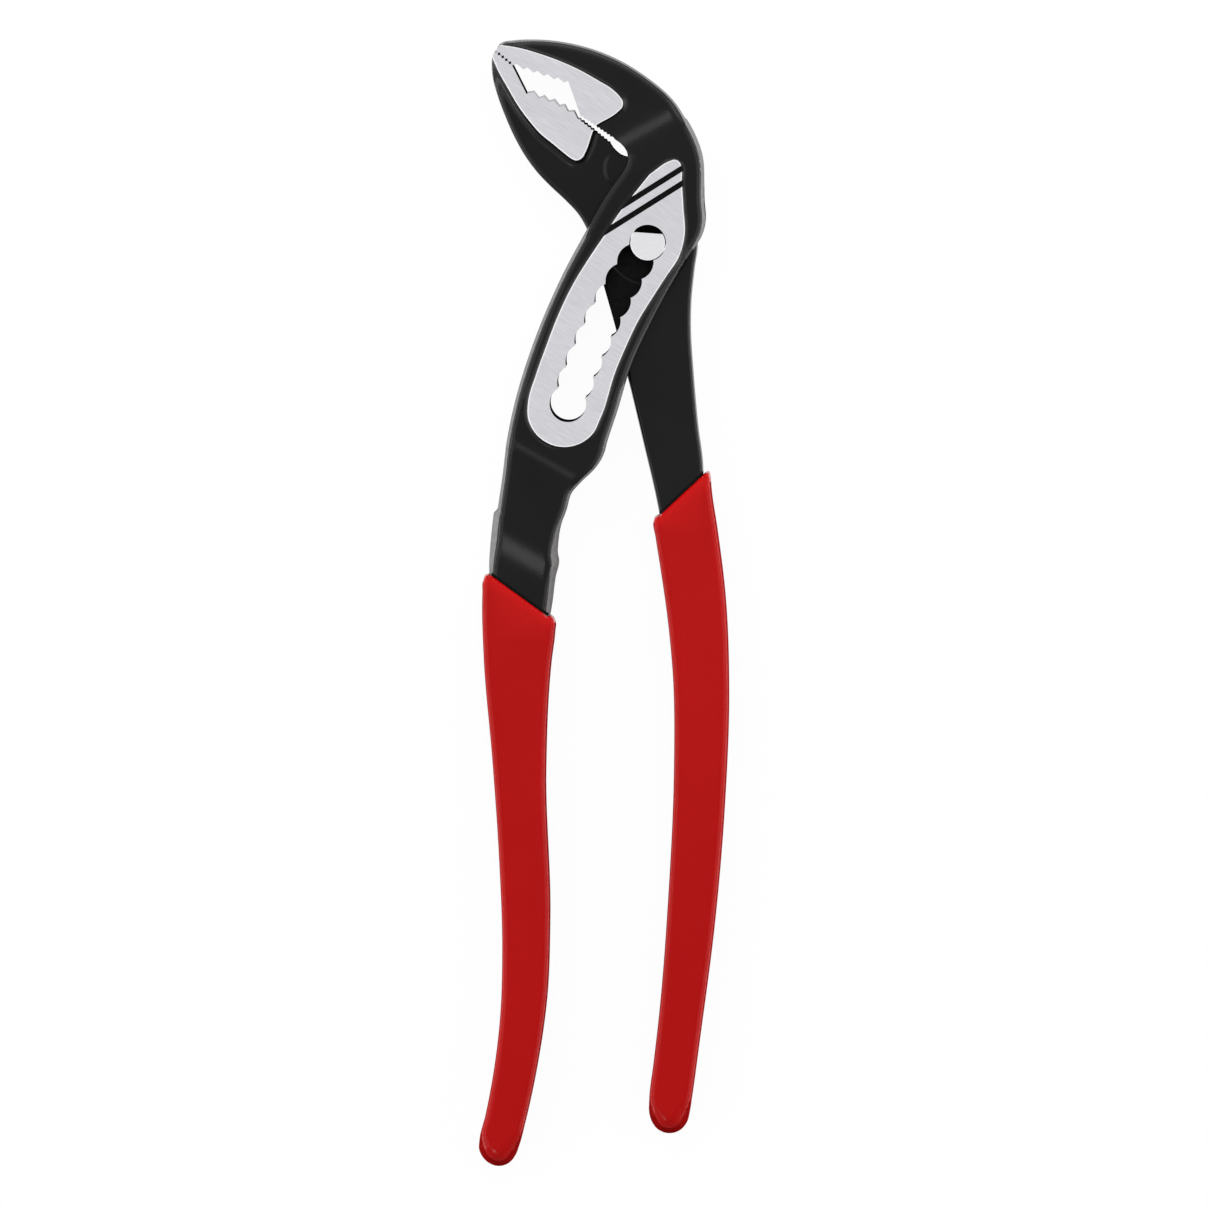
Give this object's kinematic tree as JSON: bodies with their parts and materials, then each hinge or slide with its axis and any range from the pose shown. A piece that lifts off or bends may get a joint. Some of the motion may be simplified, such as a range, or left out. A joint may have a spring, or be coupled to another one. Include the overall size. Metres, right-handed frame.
{
  "type": "water pump pliers",
  "caption": "Slip-joint water pump pliers: a slotted lever and an inner lever with toothed jaws, a hinge bolt that locks into a scalloped slot, and dipped grips.",
  "frame": {"origin": "the hinge bolt's axis at its rear end, level with the ground back face that the tool lies on", "axes": "+Y from the handles towards the jaws, +Z out of the front face, +X across the tool"},
  "size_m": [0.0556, 0.2501, 0.015],
  "materials": {
    "black_oxide_steel": "black oxide",
    "ground_steel": "ground",
    "red_dipped_plastic": "dip coated"
  },
  "bodies": {
    "slotted_lever": {"slotted_lever": "black_oxide_steel", "slotted_lever_grip": "red_dipped_plastic"},
    "hinge_bolt": {"hinge_bolt": "ground_steel"},
    "inner_lever": {"inner_lever": "black_oxide_steel", "inner_lever_grip": "red_dipped_plastic"}
  },
  "joints": [
    {"name": "slot_adjustment", "type": "hinge", "parent": "slotted_lever", "child": "hinge_bolt", "pos_m": [0.12255, -0.08297, 0.0075], "axis": [0, 0, 1], "range_deg": [0, 11.61]},
    {"name": "jaw_opening", "type": "hinge", "parent": "hinge_bolt", "child": "inner_lever", "pos_m": [0, 0, 0.0075], "axis": [0, 0, 1], "range_deg": [0, 65]}
  ]
}
